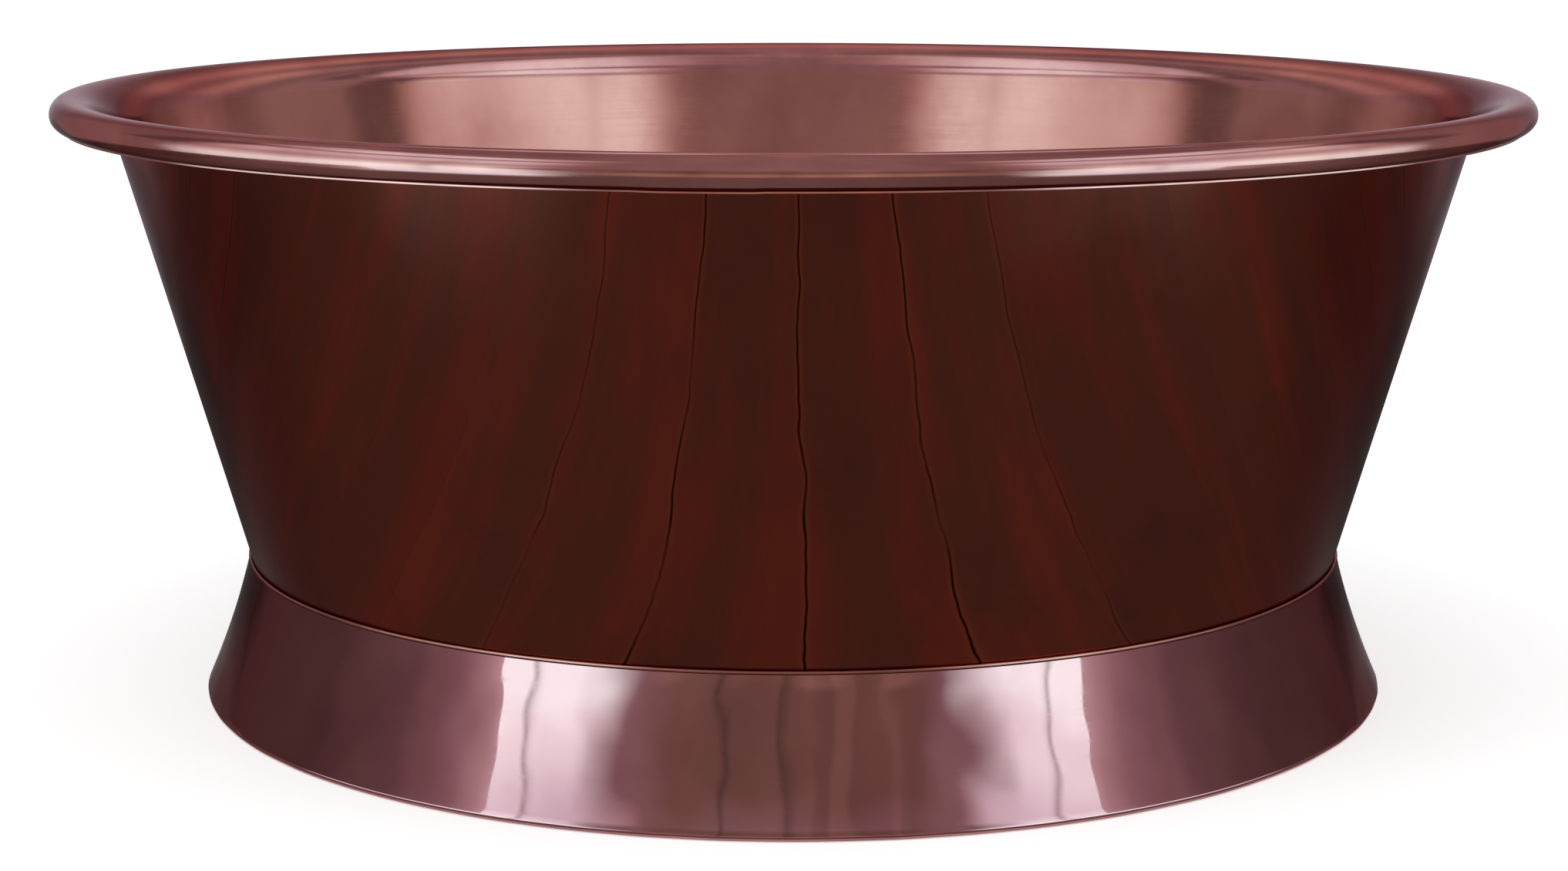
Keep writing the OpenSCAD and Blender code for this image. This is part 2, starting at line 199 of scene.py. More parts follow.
@dataclass(frozen=True)
class Ripple:
    """The gentle waves that planishing leaves in a sheet.

    The height of the waves is a sum of cosines round the tub, each with a whole number of waves,
    a phase, and a lean that turns the phase along the section.
    """

    seed: int
    depth: float
    fewest: int = 6
    most: int = 44
    terms: int = 14
    lean: float = 5.0

    def field(self, count: int, along: np.ndarray) -> np.ndarray:
        """Works out the waves.

        Args:
            count: steps round the axis.
            along: share of the way along the section, from 0 to 1, at each of its points.

        Returns:
            Array of count by points, in metres.
        """
        dice = np.random.default_rng(self.seed)
        waves = dice.integers(self.fewest, self.most + 1, self.terms)
        phases = dice.uniform(0, 2 * math.pi, self.terms)
        leans = dice.uniform(-self.lean, self.lean, self.terms)
        bends = dice.uniform(-1.2, 1.2, self.terms)
        a = turn_angles(count)[:, None, None]
        s = along[None, :, None]
        phase = waves * a + phases + leans * s + bends * np.sin(2 * math.pi * s + phases)
        height = np.cos(phase) * (self.fewest / waves) ** 0.6
        return self.depth * height.sum(axis=2) / math.sqrt(self.terms / 2)


# Finishes


# A Map Range node that eases in and out.
SMOOTH = {"interpolation_type": "SMOOTHSTEP"}
# A Mix node for colours: its third output is the colour.
BLEND = {"out": 2, "data_type": "RGBA"}


def srgb(hex_colour: str) -> tuple[float, float, float, float]:
    """Turns an sRGB hex colour to linear.

    Args:
        hex_colour: six hex digits.

    Returns:
        Linear red, green, blue and an alpha of 1.
    """
    values = [int(hex_colour[i : i + 2], 16) / 255 for i in (0, 2, 4)]
    linear = [v / 12.92 if v <= 0.04045 else ((v + 0.055) / 1.055) ** 2.4 for v in values]
    return (*linear, 1.0)


class NodeNet:
    """The shader nodes of a material or of the world."""

    def __init__(self, tree: NodeTree) -> None:
        """Takes over a tree and empties it."""
        self.tree = tree
        tree.nodes.clear()

    def add(
        self,
        kind: str,
        *values: object,
        inputs: dict[int | str, object] | None = None,
        out: int | str = 0,
        **settings: object,
    ) -> NodeSocket | None:
        """Adds a node with its settings and links.

        Args:
            kind: the node's type name after ShaderNode, then a space and its operation if it has one.
            values: what goes into its first inputs: a value, a hex colour, the output that feeds
                the input, or None to leave it alone.
            inputs: the same by the input's name or number.
            out: which output is handed back.
            settings: the node's own properties.

        Returns:
            The output, or None if the node has no output.
        """
        kind, _, operation = kind.partition(" ")
        made = self.tree.nodes.new("ShaderNode" + kind)
        if operation:
            made.operation = operation
        for name, value in settings.items():
            setattr(made, name, value)
        for place, value in {**dict(enumerate(values)), **(inputs or {})}.items():
            if isinstance(value, NodeSocket):
                self.tree.links.new(value, made.inputs[place])
            elif value is not None:
                made.inputs[place].default_value = srgb(value) if isinstance(value, str) else value
        return made.outputs[out] if made.outputs else None

    def seen_plainly(self) -> NodeSocket:
        """Tells what is seen from what only lights.

        Returns:
            1 for the camera's rays, straight or by a mirror or glass, and 0 for soft light.
        """
        rays = self.add("LightPath").node.outputs
        mirrored = self.add("Math MAXIMUM", rays["Is Camera Ray"], rays["Is Glossy Ray"])
        return self.add("Math MAXIMUM", mirrored, rays["Is Transmission Ray"])

    def around_the_axis(self, slow: float, fast: float) -> NodeSocket:
        """A pattern space that is drawn out round the tub, as buffing marks are.

        The place is the direction from the axis times slow, plus the radius and height together
        times fast along Z, so a pattern changes slowly round the tub and quickly across it.

        Args:
            slow: pattern steps round the tub.
            fast: pattern steps for each metre across it.

        Returns:
            The place as a vector.
        """
        place = self.add("TexCoord", out="Object")
        flat = self.add("VectorMath MULTIPLY", place, (1, 1, 0))
        scaled = self.add("VectorMath MULTIPLY", self.add("VectorMath NORMALIZE", flat), (slow, slow, 0))
        radius = self.add("VectorMath LENGTH", flat, out="Value")
        height = self.add("SeparateXYZ", place, out=2)
        across = self.add("Math MULTIPLY", self.add("Math ADD", radius, height), fast)
        return self.add("VectorMath ADD", scaled, self.add("CombineXYZ", None, None, across))

    def close(self, relief: NodeSocket, strength: float, height: float, inputs: dict[str, object]) -> None:
        """Ends a material with a bump, a Principled shader and the output.

        Args:
            relief: the pattern that the bump follows.
            strength: the bump's strength, from 0 to 1.
            height: the bump's height in metres.
            inputs: the shader's other inputs.
        """
        bump = self.add("Bump", strength, height, None, relief)
        self.add("OutputMaterial", self.add("BsdfPrincipled", inputs={**inputs, "Normal": bump}))


def new_material(name: str) -> tuple[Material, NodeNet]:
    """Makes a material.

    Args:
        name: the material's name.

    Returns:
        The material and its net, still empty.
    """
    material = bpy.data.materials.new(name)
    material.use_nodes = True
    return material, NodeNet(material.node_tree)


@dataclass(frozen=True)
class BuffedCopper:
    """Sheet copper, planished and buffed to a mirror, then waxed.

    The eye sees a rosy mirror with soft clouds of darker tone, and fine buffing marks round the
    tub that stretch its highlights.
    """

    name: str = "buffed_copper"
    bright: str = "B67A6C"
    cloudy: str = "A0645A"
    edge: str = "CCB0B2"
    roughness: float = 0.13
    cloud_size: float = 160 * MM
    handling_size: float = 18.18 * MM
    mark_spacing: float = 2.5 * MM
    mark_bends: float = 1.5
    mark_depth: float = 0.1 * MM

    def material(self) -> Material:
        """Builds the node material.

        Returns:
            The material.
        """
        material, net = new_material(self.name)
        place = net.add("TexCoord", out="Object")
        drawn = net.around_the_axis(self.mark_bends, 1 / self.mark_spacing)
        clouds = net.add("TexNoise", place, None, 1 / self.cloud_size, 4.0, 0.55)
        marks = net.add("TexNoise", drawn, None, 1.0, 3.0, 0.6)
        handling = net.add("TexNoise", place, None, 1 / self.handling_size, 5.0, 0.65)
        cloudy = net.add("MapRange", clouds, 0.35, 0.75, **SMOOTH)
        marked = net.add("MapRange", marks, 0.3, 0.75, 0.0, 0.05, **SMOOTH)
        handled = net.add("MapRange", handling, 0.45, 0.8, 0.0, 0.05, **SMOOTH)
        smear = net.add("Math ADD", marked, self.roughness - 0.03)
        look = {
            "Base Color": net.add("Mix", cloudy, inputs={6: self.bright, 7: self.cloudy}, **BLEND),
            "Metallic": 1.0,
            "Roughness": net.add("Math ADD", smear, handled),
            "Specular Tint": self.edge,
        }
        net.close(marks, 0.04, self.mark_depth, look)
        return material


@dataclass(frozen=True)
class OxbloodPatina:
    """Copper darkened with a hot chemical patina and waxed to a deep gloss.

    The eye sees red-brown bands with a drawn-out grain that fan out down the wall. Each band's
    own darker shade, and the dark lines with a redder margin that part the bands, are a painted
    reflection of floorboards.
    """

    name: str = "oxblood_patina"
    ground: str = "723A2D"
    red: str = "8A3A2B"
    dark: str = "552A26"
    # Painted reflection: the dark line between reflected floorboards, then the redder margin beside it.
    painted_reflection_line: str = "220F0C"
    painted_reflection_margin: str = "97462D"
    edge: str = "D6C3C4"
    # From foot to fade_size, the fields lay out the painted reflection of floorboards.
    foot: float = 0.1455
    head: float = 0.580
    fan: float = 0.61
    reflected_boards: int = 54
    group: int = 9
    stray: float = 0.35
    shift: float = 0.6
    wander_size: float = 200 * MM
    fade_size: float = 166.7 * MM
    mottle_size: float = 111.1 * MM
    grain_turns: float = 13.0
    grain_rise: float = 2.4
    relief: float = 0.15 * MM

    def material(self) -> Material:
        """Builds the node material.

        The angle round the tub, less fan times its sine times the depth below the rim, gives the
        number of the reflected floorboard, so that the painted reflection lines fan out from the
        front as they go down. A cosine of the board number makes them clear in groups and faint in between.

        Returns:
            The material.
        """
        material, net = new_material(self.name)
        place = net.add("TexCoord", out="Object")
        x, y, z = net.add("SeparateXYZ", place).node.outputs
        angle = net.add("Math ARCTAN2", x, net.add("Math MULTIPLY", y, -1.0))
        slope = -1 / (self.head - self.foot)
        low = net.add("Math MULTIPLY_ADD", z, slope, -self.head * slope)
        fanned = net.add("Math MULTIPLY", low, self.fan)
        drawn = net.add("Math MULTIPLY", net.add("Math SINE", angle), fanned)
        board_angle = net.add("Math SUBTRACT", angle, drawn)
        wander = net.add("TexNoise", place, None, 1 / self.wander_size, 4.0, 0.5)
        fade = net.add("TexNoise", place, None, 1 / self.fade_size, 2.0, 0.5)
        mottle = net.add("TexNoise", place, None, 1 / self.mottle_size, 6.0, 0.6)
        steps = net.add("Math MULTIPLY", board_angle, self.reflected_boards / (2 * math.pi))
        shift = -self.shift * self.reflected_boards / 360 - 0.5 * self.stray
        count = net.add("Math ADD", net.add("Math MULTIPLY_ADD", wander, self.stray, steps), shift)
        board_number = net.add("Math WRAP", net.add("Math FLOOR", count), float(self.reflected_boards), 0.0)
        side = net.add("Math ABSOLUTE", net.add("Math SUBTRACT", net.add("Math FRACT", count), 0.5))
        turn = net.add("Math MULTIPLY", net.add("Math ROUND", count), 2 * math.pi / self.group)
        grouped = net.add("MapRange", net.add("Math COSINE", turn), -0.4, 0.7, 0.12, 1.0, **SMOOTH)
        faded = net.add("MapRange", fade, 0.3, 0.5, 0.35, 1.0, **SMOOTH)
        strength = net.add("Math MULTIPLY", grouped, faded)
        # Painted reflection of floorboards: a dark line at each board's edge and a redder margin beside it.
        edge = net.add("Math MULTIPLY", net.add("MapRange", side, 0.484, 0.498, **SMOOTH), strength)
        margin = net.add("MapRange", side, 0.44, 0.49, 0.0, 0.45, **SMOOTH)
        painted_margin_share = net.add("Math MULTIPLY", margin, strength)
        turned = (
            net.add("Math MULTIPLY", net.add(f"Math {wave}", board_angle), self.grain_turns)
            for wave in ("COSINE", "SINE")
        )
        grain_place = net.add("CombineXYZ", *turned, net.add("Math MULTIPLY", z, self.grain_rise))
        grain = net.add("TexNoise", grain_place, None, 1.0, 7.0, 0.62)
        # Painted reflection: each reflected board takes a darker shade of its own.
        tint = net.add("TexWhiteNoise", None, board_number, noise_dimensions="1D")
        tone = self.ground
        # The red grain and the mottle are the patina's own; the board shades, margins and dark lines are
        # painted reflection.
        for share, colour in (
            (net.add("MapRange", grain, 0.42, 0.64, **SMOOTH), self.red),
            (net.add("MapRange", mottle, 0.45, 0.75, 0.0, 0.4, **SMOOTH), self.dark),
            (net.add("Math MULTIPLY", tint, 0.25), self.dark),
            (painted_margin_share, self.painted_reflection_margin),
            (edge, self.painted_reflection_line),
        ):
            tone = net.add("Mix", share, inputs={6: tone, 7: colour}, **BLEND)
        look = {
            "Base Color": tone,
            "Metallic": 1.0,
            "Roughness": net.add("MapRange", mottle, 0.3, 0.75, 0.16, 0.27, **SMOOTH),
            "Specular Tint": self.edge,
        }
        relief = net.add("Math SUBTRACT", net.add("Math MULTIPLY", grain, 0.3), edge)
        net.close(relief, 0.12, self.relief, look)
        return material


@dataclass(frozen=True)
class WorkshopMetal:
    """Turned, drawn, rolled or plated metal of the parts that the plinth hides.

    The eye sees a satin metal with fine drawn marks and a little cloudiness.
    """

    name: str
    bright: str
    dull: str
    roughness: float
    cloud_size: float = 35.7 * MM
    grit: float = 1.5 * MM
    depth: float = 0.05 * MM

    def material(self) -> Material:
        """Builds the node material.

        Returns:
            The material.
        """
        material, net = new_material(self.name)
        place = net.add("TexCoord", out="Object")
        clouds = net.add("TexNoise", place, None, 1 / self.cloud_size, 5.0, 0.6)
        marks = net.add("TexNoise", place, None, 1 / self.grit, 2.0, 0.7)
        cloudy = net.add("MapRange", clouds, 0.35, 0.7, **SMOOTH)
        tone = net.add("Mix", cloudy, inputs={6: self.bright, 7: self.dull}, **BLEND)
        gloss = net.add("MapRange", marks, 0.3, 0.7, self.roughness - 0.06, self.roughness + 0.08, **SMOOTH)
        net.close(marks, 0.15, self.depth, {"Base Color": tone, "Metallic": 1.0, "Roughness": gloss})
        return material


@dataclass(frozen=True)
class DullCoat:
    """Primer sprayed on steel, or moulded rubber: no metal shows.

    The eye sees a dull dark skin with a fine orange peel and a few lighter scuffs.
    """

    name: str
    body: str
    scuff: str
    roughness: float
    wear_size: float = 25 * MM
    peel: float = 1.2 * MM
    depth: float = 0.1 * MM

    def material(self) -> Material:
        """Builds the node material.

        Returns:
            The material.
        """
        material, net = new_material(self.name)
        place = net.add("TexCoord", out="Object")
        peel = net.add("TexNoise", place, None, 1 / self.peel, 2.0, 0.5)
        wear = net.add("TexNoise", place, None, 1 / self.wear_size, 6.0, 0.7)
        worn = net.add("MapRange", wear, 0.58, 0.78, **SMOOTH)
        tone = net.add("Mix", worn, inputs={6: self.body, 7: self.scuff}, **BLEND)
        gloss = net.add("MapRange", wear, 0.3, 0.7, self.roughness - 0.05, self.roughness + 0.1, **SMOOTH)
        net.close(peel, 0.3, self.depth, {"Base Color": tone, "Roughness": gloss})
        return material


class Finish(Enum):
    """The finishes of the tub, by the record's material slots."""

    POLISHED = "polished_copper"
    PATINATED = "patinated_copper"
    STEEL = "bare_steel"
    PRIMED = "primed_steel"
    ZINC = "zinc_plated_steel"
    RUBBER = "black_rubber"
    BRASS = "plain_brass"


class FinishShelf:
    """Makes each finish once and hands it out."""

    def __init__(self) -> None:
        """Builds all the materials."""
        self.plinth_copper = BuffedCopper(
            name="plinth_copper", bright="AE7878", cloudy="9E686A", roughness=0.04
        ).material()
        self.rim_copper = BuffedCopper(name="rim_copper", bright="B67C73", cloudy="A06661").material()
        self.materials: dict[Finish, Material] = {
            Finish.POLISHED: BuffedCopper().material(),
            Finish.PATINATED: OxbloodPatina().material(),
            Finish.STEEL: WorkshopMetal("drawn_steel", "9A9CA0", "7E8084", 0.34).material(),
            Finish.PRIMED: DullCoat("primed_steel", "3A3B3D", "5B5C5E", 0.55).material(),
            Finish.ZINC: WorkshopMetal("zinc_plate", "C6C8C9", "A9ABA8", 0.30).material(),
            Finish.RUBBER: DullCoat("moulded_rubber", "1C1C1D", "303031", 0.72).material(),
            Finish.BRASS: WorkshopMetal("turned_brass", "C9A25C", "A98445", 0.26).material(),
        }

    def dress_cad(self) -> int:
        """Gives every CAD node the finish of its slot in the record.

        Returns:
            How many nodes were dressed.
        """
        slots = {part["node"]: Finish(part["material_slot"]) for part in frame["record"]["subparts"]}
        for name, node in frame["nodes"].items():
            node.data.materials.clear()
            node.data.materials.append(self[slots[name]])
        return len(slots)

    def __getitem__(self, finish: Finish) -> Material:
        """The material of a finish."""
        return self.materials[finish]


# The tub


@dataclass(frozen=True)
class TubSection:
    """The tub's section in metres, worked out as the CAD source does it."""

    rim_radius: float = 0.760
    rim_height: float = 0.625
    roll_radius: float = 0.0165
    roll_turn: float = 300.0
    flare_radius: float = 0.049
    sheet: float = 0.0015
    waist_radius: float = 0.573
    waist_height: float = 0.1455
    joint_drop: float = 0.008
    cove_radius: float = 0.045
    floor_fall: float = 0.006
    sump_radius: float = 0.060
    drain_radius: float = 0.0259
    foot_radius: float = 0.6225
    lip: float = 0.0025
    sag: float = 0.0035
    hem_radius: float = 0.004
    hem_gap: float = 0.0005
    bead_radius: float = 0.002
    seat_gap: float = 0.0002

    @property
    def roll_centre(self) -> Point:
        """Centre of the rolled edge."""
        return self.rim_radius - self.roll_radius, self.rim_height - self.roll_radius

    @property
    def flare_centre(self) -> Point:
        """Centre of the trumpet flare."""
        return self.roll_centre[0], self.rim_height - self.flare_radius

    @property
    def lean(self) -> float:
        """Works out the wall's lean: its outer line is tangent to the flare's underside.

        Returns:
            Degrees from upright.
        """
        out = self.flare_centre[0] - self.waist_radius
        up = self.flare_centre[1] - self.waist_height
        turn = math.asin((self.flare_radius - self.sheet) / math.hypot(out, up))
        return math.degrees(math.atan2(out, up) - turn)

    @property
    def joint(self) -> Point:
        """Where the wall meets the cove, on the outer line."""
        slope = math.tan(math.radians(self.lean))
        return self.waist_radius - self.joint_drop * slope, self.waist_height - self.joint_drop

    @property
    def cove_centre(self) -> Point:
        """Centre of the cove's arc."""
        return self.sheet_point(self.joint, -self.cove_radius, -self.lean)

    @property
    def floor_edge(self) -> float:
        """Underside of the floor where it meets the cove."""
        return self.cove_centre[1] - self.cove_radius

    @property
    def sump(self) -> float:
        """Underside of the floor at the waste."""
        return self.floor_edge - self.floor_fall

    @property
    def lip_point(self) -> Point:
        """Top outer edge of the skirt."""
        return self.waist_radius + self.lip, self.waist_height - 2 * self.bead_radius

    @property
    def hem_centre(self) -> Point:
        """Centre of the skirt's rolled hem."""
        return self.foot_radius - self.hem_radius, self.hem_gap + self.hem_radius

    @property
    def skirt_lean(self) -> float:
        """Works out the lean of the skirt's chord, which runs from the lip tangent to the hem.

        Returns:
            Degrees from upright.
        """
        out = self.hem_centre[0] - self.lip_point[0]
        down = self.lip_point[1] - self.hem_centre[1]
        turn = math.asin(self.hem_radius / math.hypot(out, down))
        return math.degrees(math.atan2(out, down) + turn)

    def wall_radius(self, height: float) -> float:
        """Outer radius of the wall at a height."""
        slope = math.tan(math.radians(self.lean))
        return self.waist_radius + (height - self.waist_height) * slope

    def sheet_point(self, centre: Point, radius: float, angle: float) -> Point:
        """Point at a radius and an angle in degrees from a centre of the section."""
        a = math.radians(angle)
        return centre[0] + radius * math.cos(a), centre[1] + radius * math.sin(a)


@dataclass
class CopperPart:
    """What each copper part of the tub is built from: the section and the finishes."""

    section: TubSection
    shelf: FinishShelf


@dataclass
class TubWall(CopperPart):
    """The conical wall, patinated outside and polished inside."""

    count: int = 480
    steps: int = 56

    def build(self) -> Object:
        """Builds the wall: straight lines between the cove and the flare, 1.5 mm apart.

        The same waves are added to the radius of both faces, so the sheet keeps its thickness.
        They die out at both ends, where the wall meets its neighbours.

        Returns:
            The wall.
        """
        s = self.section
        tangent = 180 - s.lean
        outer = line(s.joint, s.sheet_point(s.flare_centre, s.flare_radius - s.sheet, tangent), self.steps)
        inner = line(
            s.sheet_point(s.joint, -s.sheet, -s.lean),
            s.sheet_point(s.flare_centre, s.flare_radius, tangent),
            self.steps,
        )
        along = np.linspace(0, 1, self.steps + 1)
        hold = ease(0.0, 0.12, along) * ease(1.0, 0.9, along)
        waves = Ripple(seed=11, depth=0.16 * MM).field(self.count, along) * hold
        grid = revolve(sheet_section(outer, inner), self.count, np.hstack([waves, waves[:, ::-1]]))
        wall = surface("tub_wall_sheet", grid, self.shelf[Finish.POLISHED], self.shelf[Finish.PATINATED])
        face_column = np.tile(np.arange(len(outer) + len(inner)), self.count)
        wall.data.polygons.foreach_set("material_index", (face_column < self.steps).astype(np.int32))
        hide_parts("tub_wall")
        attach(wall, "tub")
        return wall


@dataclass
class RolledRim(CopperPart):
    """The trumpet flare and the edge that is rolled over the core tube."""

    count: int = 420
    flare_steps: int = 26
    lap_from: float = -9.5
    lap_to: float = -2.0
    lap_ramp: float = 0.5
    lap_height: float = 0.45 * MM
    edge_from: float = -76.5
    edge_step: float = 1.3 * MM
    flattening: float = 1.2 * MM
    draw_in: float = 0.13 * MM

    def skin_line(self) -> np.ndarray:
        """The outer line of the rim: the flare's arc, then the roll's arc with the raw edge under it.

        The roll is a little flattened underneath. Just before its lowest point a second turn of
        the sheet ends in a raw edge, a small step that faces outwards. The flattening is taken
        from the roll's radius, the step is added to it, and both come and go by smooth steps.

        Returns:
            Rows of radius and height.
        """
        s = self.section
        angles = np.concatenate(
            [
                np.linspace(90, self.edge_from, 44)[1:],
                np.linspace(self.edge_from - 1.2, -130, 16),
                np.linspace(-132, 90 - s.roll_turn, 20),
            ]
        )
        step = np.where(angles < self.edge_from, ease(-125, -80, angles), 0.0) * self.edge_step
        flat = ease(-15, -70, angles) * ease(-135, -100, angles) * self.flattening
        radius = s.roll_radius + step - flat
        a = np.radians(angles)
        roll = s.roll_centre + radius[:, None] * np.column_stack([np.cos(a), np.sin(a)])
        flare = arc(s.flare_centre, s.flare_radius, 180 - s.lean, 90, self.flare_steps)
        return np.vstack([flare, roll])

    def build(self) -> Object:
        """Builds the rim: the flare's arc, then the roll's arc, as one sheet.

        A soldered lap at the front thickens the roll by a small step that rises and falls as a
        smooth step of the angle round the tub. The waves are drawn in by a little more than their
        height, so that they stay within the tub's true width.

        Returns:
            The rim.
        """
        s = self.section
        skin = self.skin_line()
        flare = arc(s.flare_centre, s.flare_radius - s.sheet, 180 - s.lean, 90, self.flare_steps)
        roll_steps = len(skin) - len(flare)
        roll = arc(s.roll_centre, s.roll_radius - s.sheet, 90, 90 - s.roll_turn, roll_steps)[1:]
        section = sheet_section(skin, np.vstack([flare, roll]))
        along = np.linspace(0, 1, len(skin))
        hold = ease(0.0, 0.15, along)
        waves = Ripple(seed=5, depth=0.10 * MM, fewest=5, most=30, lean=2.0).field(self.count, along)
        waves = (waves - self.draw_in) * hold
        grid = revolve(section, self.count, np.hstack([waves, waves[:, ::-1]]))
        degrees = turn_degrees(self.count)
        ramp = self.lap_ramp
        lap = ease(self.lap_from - ramp, self.lap_from + ramp, degrees)
        lap = lap * ease(self.lap_to + ramp, self.lap_to - ramp, degrees) * self.lap_height
        under = ease(0.45, 0.55, along) * ease(0.98, 0.9, along)
        under = np.concatenate([under, under[::-1]])
        grid[:, :, 2] -= lap[:, None] * under
        rim = surface("rim_sheet", grid, self.shelf.rim_copper)
        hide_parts("rim_roll")
        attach(rim, "tub")
        return rim


@dataclass
class Bottom(CopperPart):
    """The bottom of the tub: a cove round a floor that falls to the waste."""

    count: int = 300
    cove_steps: int = 28
    floor_steps: int = 44
    sump_steps: int = 6

    def build_cove(self) -> Object:
        """Builds the cove: a strip of sheet bent to an arc from the wall to the floor.

        Returns:
            The cove.
        """
        s = self.section
        skin = arc(s.cove_centre, s.cove_radius, -s.lean, -90, self.cove_steps)
        back = arc(s.cove_centre, s.cove_radius - s.sheet, -s.lean, -90, self.cove_steps)
        grid = revolve(sheet_section(skin, back), self.count)
        cove = surface("cove_sheet", grid, self.shelf[Finish.POLISHED])
        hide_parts("tub_cove")
        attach(cove, "tub")
        return cove

    def build_floor(self) -> Object:
        """Builds the floor from straight lines between the cove, the flat sump and the drain.

        Hammering leaves it a few tenths of a millimetre uneven: the waves are added to its
        height and die out at the drain and at the cove.

        Returns:
            The floor.
        """
        s = self.section
        corner = (s.sump_radius, s.sump)
        slope = line((s.cove_centre[0], s.floor_edge), corner, self.floor_steps)
        under = np.vstack([slope, line(corner, (s.drain_radius, s.sump), self.sump_steps)[1:]])
        top = under + np.array([0.0, s.sheet])
        along = np.linspace(0, 1, len(under))
        hold = ease(0.0, 0.1, along) * ease(0.86, 0.7, along)
        ripple = Ripple(seed=23, depth=0.12 * MM, fewest=3, most=16, lean=14.0)
        waves = ripple.field(self.count, along) * hold
        grid = revolve(sheet_section(under, top), self.count)
        grid[:, :, 2] += np.hstack([waves, waves[:, ::-1]])
        floor = surface("pan_sheet", grid, self.shelf[Finish.POLISHED])
        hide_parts("tub_pan")
        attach(floor, "tub")
        return floor


@dataclass
class Plinth(CopperPart):
    """The flared skirt with its rolled hem, and the solder bead along its lip."""

    count: int = 720
    steps: int = 30
    hem_steps: int = 18
    hem_end: float = -200.0
    bead_count: int = 600
    bead_waves: int = 16

    def build_skirt(self) -> Object:
        """Builds the skirt as one sheet from the lip to the end of the rolled hem.

        From lip to hem its line is a chord that is drawn in by a parabola, 4 sag t (1 - t).

        Returns:
            The skirt.
        """
        s = self.section
        reach = math.hypot(s.hem_centre[0] - s.lip_point[0], s.hem_centre[1] - s.lip_point[1])
        hem_start = s.skirt_lean + math.degrees(math.atan(4 * s.sag / reach))
        hem_point = np.array(s.sheet_point(s.hem_centre, s.hem_radius, hem_start))
        lip = np.array(s.lip_point)
        depth = s.sheet / math.cos(math.radians(s.skirt_lean))
        t = np.linspace(0, 1, self.steps + 1)
        outer = line(lip, hem_point, self.steps)
        outer[:, 0] -= 4 * s.sag * t * (1 - t)
        inner = outer[1:-1] - [depth, 0.0]
        hem_out, hem_in = (
            arc(s.hem_centre, radius, hem_start, self.hem_end, self.hem_steps)
            for radius in (s.hem_radius, s.hem_radius - s.sheet)
        )
        lip_in = s.wall_radius(lip[1]) + s.seat_gap
        lip_turn = np.array([[lip_in, lip[1]], [lip_in, lip[1] - s.sheet], [inner[0, 0], lip[1] - s.sheet]])
        inner = inner[inner[:, 1] < lip[1] - s.sheet]
        section = np.vstack([outer, hem_out[1:], hem_in[::-1], inner[::-1], lip_turn[::-1]])
        along = np.clip((lip[1] - section[:, 1]) / (lip[1] - hem_point[1]), 0, 1)
        hold = ease(0.0, 0.12, along)
        waves = Ripple(seed=8, depth=0.20 * MM, fewest=7, most=36, lean=3.5).field(self.count, along)
        fine = Ripple(seed=31, depth=0.11 * MM, fewest=30, most=68, terms=18, lean=12.0)
        waves = (waves + fine.field(self.count, along)) * hold
        skirt = surface("plinth_sheet", revolve(section, self.count, waves), self.shelf.plinth_copper)
        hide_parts("plinth_skirt")
        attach(skirt, "tub")
        return skirt

    def build_bead(self) -> Object:
        """Builds the bead: a ring of round section whose thickness wanders as solder does.

        The radius of its section falls by up to 10 % with a sum of cosines round the tub.

        Returns:
            The bead.
        """
        s = self.section
        lean = math.radians(s.lean)
        height = s.lip_point[1] + s.bead_radius
        centre = (s.wall_radius(height) + s.bead_radius / math.cos(lean), height)
        section = arc(centre, s.bead_radius, 0, 330, 11)
        a = turn_angles(self.bead_count)
        dice = np.random.default_rng(3)
        waves = dice.integers(9, 140, self.bead_waves)
        wander = np.cos(waves * a[:, None] + dice.uniform(0, 6.28, self.bead_waves)).sum(axis=1) / 4
        grow = 1 - 0.05 * (1 + np.clip(wander, -1, 1))
        middle = place_round(a, *centre)[:, None]
        grid = middle + (revolve(section, self.bead_count) - middle) * grow[:, None, None]
        bead = surface("lip_bead", grid, self.shelf[Finish.POLISHED])
        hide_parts("waist_bead")
        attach(bead, "tub")
        return bead


@dataclass
class PlugCap(CopperPart):
    """The plug's cap: a shallow spun dome over a body with a groove for its seal."""

    count: int = 96
    dome_steps: int = 30
    stand: float = 6.5 * MM
    radius: float = 31.0 * MM
    rise: float = 5.0 * MM
    edge: float = 1.2 * MM
    chamfer: float = 0.25 * MM
    body_radius: float = 17.45 * MM
    rib_radius: float = 18.1 * MM
    groove_foot: float = -4.871 * MM
    body_foot: float = -5.871 * MM
    bore: float = 4.05 * MM

    def build(self) -> Object:
        """Builds the cap as one closed skin round the axis, with a blind bore for the stem.

        The dome's radius is the cap's times sin t to the power 2/3, and it rises above the edge
        as cos t, with t from 0 to 90 degrees: nearly flat in the middle and round at the edge.

        Returns:
            The cap.
        """
        t = np.radians(np.linspace(0, 90, self.dome_steps + 1))
        height = self.edge + (self.rise - self.edge) * np.cos(t)
        dome = np.column_stack([self.radius * np.sin(t) ** (2 / 3), height])
        below = [
            (self.radius, self.chamfer),
            (self.radius - self.chamfer, 0.0),
            (self.body_radius, 0.0),
            (self.body_radius, self.groove_foot),
            (self.rib_radius, self.groove_foot),
            (self.rib_radius, self.body_foot),
            (self.bore, self.body_foot),
            (self.bore, 0.0),
            (0.0, 0.0),
        ]
        section = np.vstack([dome, below]) + np.array([0.0, self.section.sump + self.stand])
        grid = revolve(section, self.count)
        cap = surface("plug_dome", grid, self.shelf[Finish.POLISHED], closed_profile=False)
        close_poles(cap)
        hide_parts("plug_cap")
        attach(cap, "plug")
        return cap


# The studio


